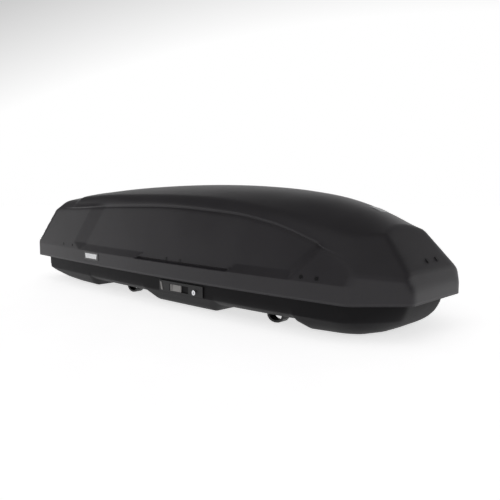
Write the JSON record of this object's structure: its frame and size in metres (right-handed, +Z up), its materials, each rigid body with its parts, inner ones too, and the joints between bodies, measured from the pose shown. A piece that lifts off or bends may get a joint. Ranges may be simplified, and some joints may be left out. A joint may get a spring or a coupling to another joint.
{
  "type": "roof cargo box",
  "caption": "Long hard-shell roof cargo box: tray base with crossbar clamps and an overlapping faceted lid hinged along one side, with slide latch, key lock and lid struts.",
  "frame": {"origin": "under the middle of the box, on the plane the three floor bellies rest on", "axes": "+X toward the nose, -Y toward the lock side, +Z up"},
  "size_m": [1.9, 0.6296, 0.447],
  "materials": {
    "lid_plastic": "fine-grained charcoal ABS",
    "base_plastic": "grained near-black ABS",
    "black_plastic": "smooth black nylon",
    "grey_plastic": "mid-grey moulded nylon",
    "lock_chrome": "polished",
    "badge": "plain plate, no lettering",
    "black_screw": "black-plated",
    "clamp_plastic": "glass-filled nylon",
    "jaw_steel": "black powder coat",
    "strut_paint": "black enamel",
    "steel": "ground and plated rod",
    "zinc_steel": "zinc-plated pressing",
    "rubber_trim": "extruded edge trim"
  },
  "bodies": {
    "base": {"base_shell": "base_plastic", "floor_plate_front_far": "zinc_steel", "floor_plate_front_near": "zinc_steel", "floor_plate_rear_far": "zinc_steel", "floor_plate_rear_near": "zinc_steel", "hinge_base_front": "zinc_steel", "hinge_base_mid": "zinc_steel", "hinge_base_rear": "zinc_steel", "latch_guide_front": "black_plastic", "latch_guide_mid": "black_plastic", "latch_guide_rear": "black_plastic", "lock_housing": "black_plastic", "lock_indicator": "grey_plastic", "rim_trim": "rubber_trim", "strut_foot_front": "zinc_steel", "strut_foot_rear": "zinc_steel"},
    "lid": {"badge_plate": "badge", "hinge_lid_front": "zinc_steel", "hinge_lid_mid": "zinc_steel", "hinge_lid_rear": "zinc_steel", "hinge_pin_front": "zinc_steel", "hinge_pin_mid": "zinc_steel", "hinge_pin_rear": "zinc_steel", "lid_band_front": "zinc_steel", "lid_band_rear": "zinc_steel", "lid_shell": "lid_plastic", "nose_plate": "zinc_steel", "screws_far": "black_screw", "screws_near": "black_screw", "screws_nose": "black_screw", "striker_front": "zinc_steel", "striker_mid": "zinc_steel", "striker_rear": "zinc_steel", "strut_hanger_front": "zinc_steel", "strut_hanger_rear": "zinc_steel"},
    "latch_rod": {"latch_rod": "zinc_steel"},
    "slide_handle": {"slide_handle": "grey_plastic"},
    "key_cylinder": {"key_cylinder": "lock_chrome"},
    "strut_tube_rear": {"strut_tube_rear": "strut_paint"},
    "strut_stem_rear": {"strut_stem_rear": "steel"},
    "strut_tube_front": {"strut_tube_front": "strut_paint"},
    "strut_stem_front": {"strut_stem_front": "steel"},
    "clamp_rear_near": {"clamp_body_rear_near": "clamp_plastic"},
    "knob_rear_near": {"clamp_knob_rear_near": "clamp_plastic"},
    "jaw_a_rear_near": {"clamp_jaw_a_rear_near": "jaw_steel"},
    "jaw_b_rear_near": {"clamp_jaw_b_rear_near": "jaw_steel"},
    "clamp_rear_far": {"clamp_body_rear_far": "clamp_plastic"},
    "knob_rear_far": {"clamp_knob_rear_far": "clamp_plastic"},
    "jaw_a_rear_far": {"clamp_jaw_a_rear_far": "jaw_steel"},
    "jaw_b_rear_far": {"clamp_jaw_b_rear_far": "jaw_steel"},
    "clamp_front_near": {"clamp_body_front_near": "clamp_plastic"},
    "knob_front_near": {"clamp_knob_front_near": "clamp_plastic"},
    "jaw_a_front_near": {"clamp_jaw_a_front_near": "jaw_steel"},
    "jaw_b_front_near": {"clamp_jaw_b_front_near": "jaw_steel"},
    "clamp_front_far": {"clamp_body_front_far": "clamp_plastic"},
    "knob_front_far": {"clamp_knob_front_far": "clamp_plastic"},
    "jaw_a_front_far": {"clamp_jaw_a_front_far": "jaw_steel"},
    "jaw_b_front_far": {"clamp_jaw_b_front_far": "jaw_steel"}
  },
  "joints": [
    {"name": "lid_hinge", "type": "hinge", "parent": "base", "child": "lid", "pos_m": [0, 0.278, 0.124], "axis": [-1, 0, 0], "range_deg": [0, 45]},
    {"name": "latch_slide", "type": "slide", "parent": "base", "child": "latch_rod", "axis": [1, 0, 0], "range_m": [0, 0.022]},
    {"name": "handle_slide", "type": "slide", "parent": "base", "child": "slide_handle", "axis": [1, 0, 0], "range_m": [0, 0.022]},
    {"name": "key_turn", "type": "hinge", "parent": "base", "child": "key_cylinder", "pos_m": [0.177, -0.275, 0.071], "axis": [0, -1, 0], "range_deg": [-90, 0]},
    {"name": "tube_swing_rear", "type": "hinge", "parent": "base", "child": "strut_tube_rear", "pos_m": [-0.735, -0.01178, 0.04635], "axis": [-1, 0, 0], "range_deg": [0, 22.5]},
    {"name": "stem_swing_rear", "type": "hinge", "parent": "lid", "child": "strut_stem_rear", "pos_m": [-0.735, 0.06587, 0.33613], "axis": [1, 0, 0], "range_deg": [0, 22.5]},
    {"name": "tube_swing_front", "type": "hinge", "parent": "base", "child": "strut_tube_front", "pos_m": [0.69, -0.01178, 0.04635], "axis": [-1, 0, 0], "range_deg": [0, 22.5]},
    {"name": "stem_swing_front", "type": "hinge", "parent": "lid", "child": "strut_stem_front", "pos_m": [0.69, 0.06587, 0.33613], "axis": [1, 0, 0], "range_deg": [0, 22.5]},
    {"name": "clamp_slide_rear_near", "type": "slide", "parent": "base", "child": "clamp_rear_near", "axis": [1, 0, 0], "range_m": [-0.025, 0.025]},
    {"name": "knob_turn_rear_near", "type": "hinge", "parent": "clamp_rear_near", "child": "knob_rear_near", "pos_m": [-0.305, -0.19, 0.08], "axis": [0, 0, 1], "range_deg": [0, 720]},
    {"name": "jaw_a_swing_rear_near", "type": "hinge", "parent": "clamp_rear_near", "child": "jaw_a_rear_near", "pos_m": [-0.329, -0.19, 0.046], "axis": [0, 1, 0], "range_deg": [0, 40]},
    {"name": "jaw_b_swing_rear_near", "type": "hinge", "parent": "clamp_rear_near", "child": "jaw_b_rear_near", "pos_m": [-0.281, -0.19, 0.046], "axis": [0, -1, 0], "range_deg": [0, 40]},
    {"name": "clamp_slide_rear_far", "type": "slide", "parent": "base", "child": "clamp_rear_far", "axis": [1, 0, 0], "range_m": [-0.025, 0.025]},
    {"name": "knob_turn_rear_far", "type": "hinge", "parent": "clamp_rear_far", "child": "knob_rear_far", "pos_m": [-0.305, 0.19, 0.08], "axis": [0, 0, 1], "range_deg": [0, 720]},
    {"name": "jaw_a_swing_rear_far", "type": "hinge", "parent": "clamp_rear_far", "child": "jaw_a_rear_far", "pos_m": [-0.329, 0.19, 0.046], "axis": [0, 1, 0], "range_deg": [0, 40]},
    {"name": "jaw_b_swing_rear_far", "type": "hinge", "parent": "clamp_rear_far", "child": "jaw_b_rear_far", "pos_m": [-0.281, 0.19, 0.046], "axis": [0, -1, 0], "range_deg": [0, 40]},
    {"name": "clamp_slide_front_near", "type": "slide", "parent": "base", "child": "clamp_front_near", "axis": [1, 0, 0], "range_m": [-0.025, 0.025]},
    {"name": "knob_turn_front_near", "type": "hinge", "parent": "clamp_front_near", "child": "knob_front_near", "pos_m": [0.488, -0.19, 0.08], "axis": [0, 0, 1], "range_deg": [0, 720]},
    {"name": "jaw_a_swing_front_near", "type": "hinge", "parent": "clamp_front_near", "child": "jaw_a_front_near", "pos_m": [0.464, -0.19, 0.046], "axis": [0, 1, 0], "range_deg": [0, 40]},
    {"name": "jaw_b_swing_front_near", "type": "hinge", "parent": "clamp_front_near", "child": "jaw_b_front_near", "pos_m": [0.512, -0.19, 0.046], "axis": [0, -1, 0], "range_deg": [0, 40]},
    {"name": "clamp_slide_front_far", "type": "slide", "parent": "base", "child": "clamp_front_far", "axis": [1, 0, 0], "range_m": [-0.025, 0.025]},
    {"name": "knob_turn_front_far", "type": "hinge", "parent": "clamp_front_far", "child": "knob_front_far", "pos_m": [0.488, 0.19, 0.08], "axis": [0, 0, 1], "range_deg": [0, 720]},
    {"name": "jaw_a_swing_front_far", "type": "hinge", "parent": "clamp_front_far", "child": "jaw_a_front_far", "pos_m": [0.464, 0.19, 0.046], "axis": [0, 1, 0], "range_deg": [0, 40]},
    {"name": "jaw_b_swing_front_far", "type": "hinge", "parent": "clamp_front_far", "child": "jaw_b_front_far", "pos_m": [0.512, 0.19, 0.046], "axis": [0, -1, 0], "range_deg": [0, 40]}
  ],
  "couplings": [
    {"joint": "handle_slide", "follows": "latch_slide", "ratio": 1},
    {"joint": "tube_swing_rear", "follows": "lid_hinge", "ratio": 0.5},
    {"joint": "stem_swing_rear", "follows": "lid_hinge", "ratio": 0.5},
    {"joint": "tube_swing_front", "follows": "lid_hinge", "ratio": 0.5},
    {"joint": "stem_swing_front", "follows": "lid_hinge", "ratio": 0.5},
    {"joint": "jaw_a_swing_rear_near", "follows": "knob_turn_rear_near", "ratio": 0.055556},
    {"joint": "jaw_b_swing_rear_near", "follows": "knob_turn_rear_near", "ratio": 0.055556},
    {"joint": "jaw_a_swing_rear_far", "follows": "knob_turn_rear_far", "ratio": 0.055556},
    {"joint": "jaw_b_swing_rear_far", "follows": "knob_turn_rear_far", "ratio": 0.055556},
    {"joint": "jaw_a_swing_front_near", "follows": "knob_turn_front_near", "ratio": 0.055556},
    {"joint": "jaw_b_swing_front_near", "follows": "knob_turn_front_near", "ratio": 0.055556},
    {"joint": "jaw_a_swing_front_far", "follows": "knob_turn_front_far", "ratio": 0.055556},
    {"joint": "jaw_b_swing_front_far", "follows": "knob_turn_front_far", "ratio": 0.055556}
  ]
}
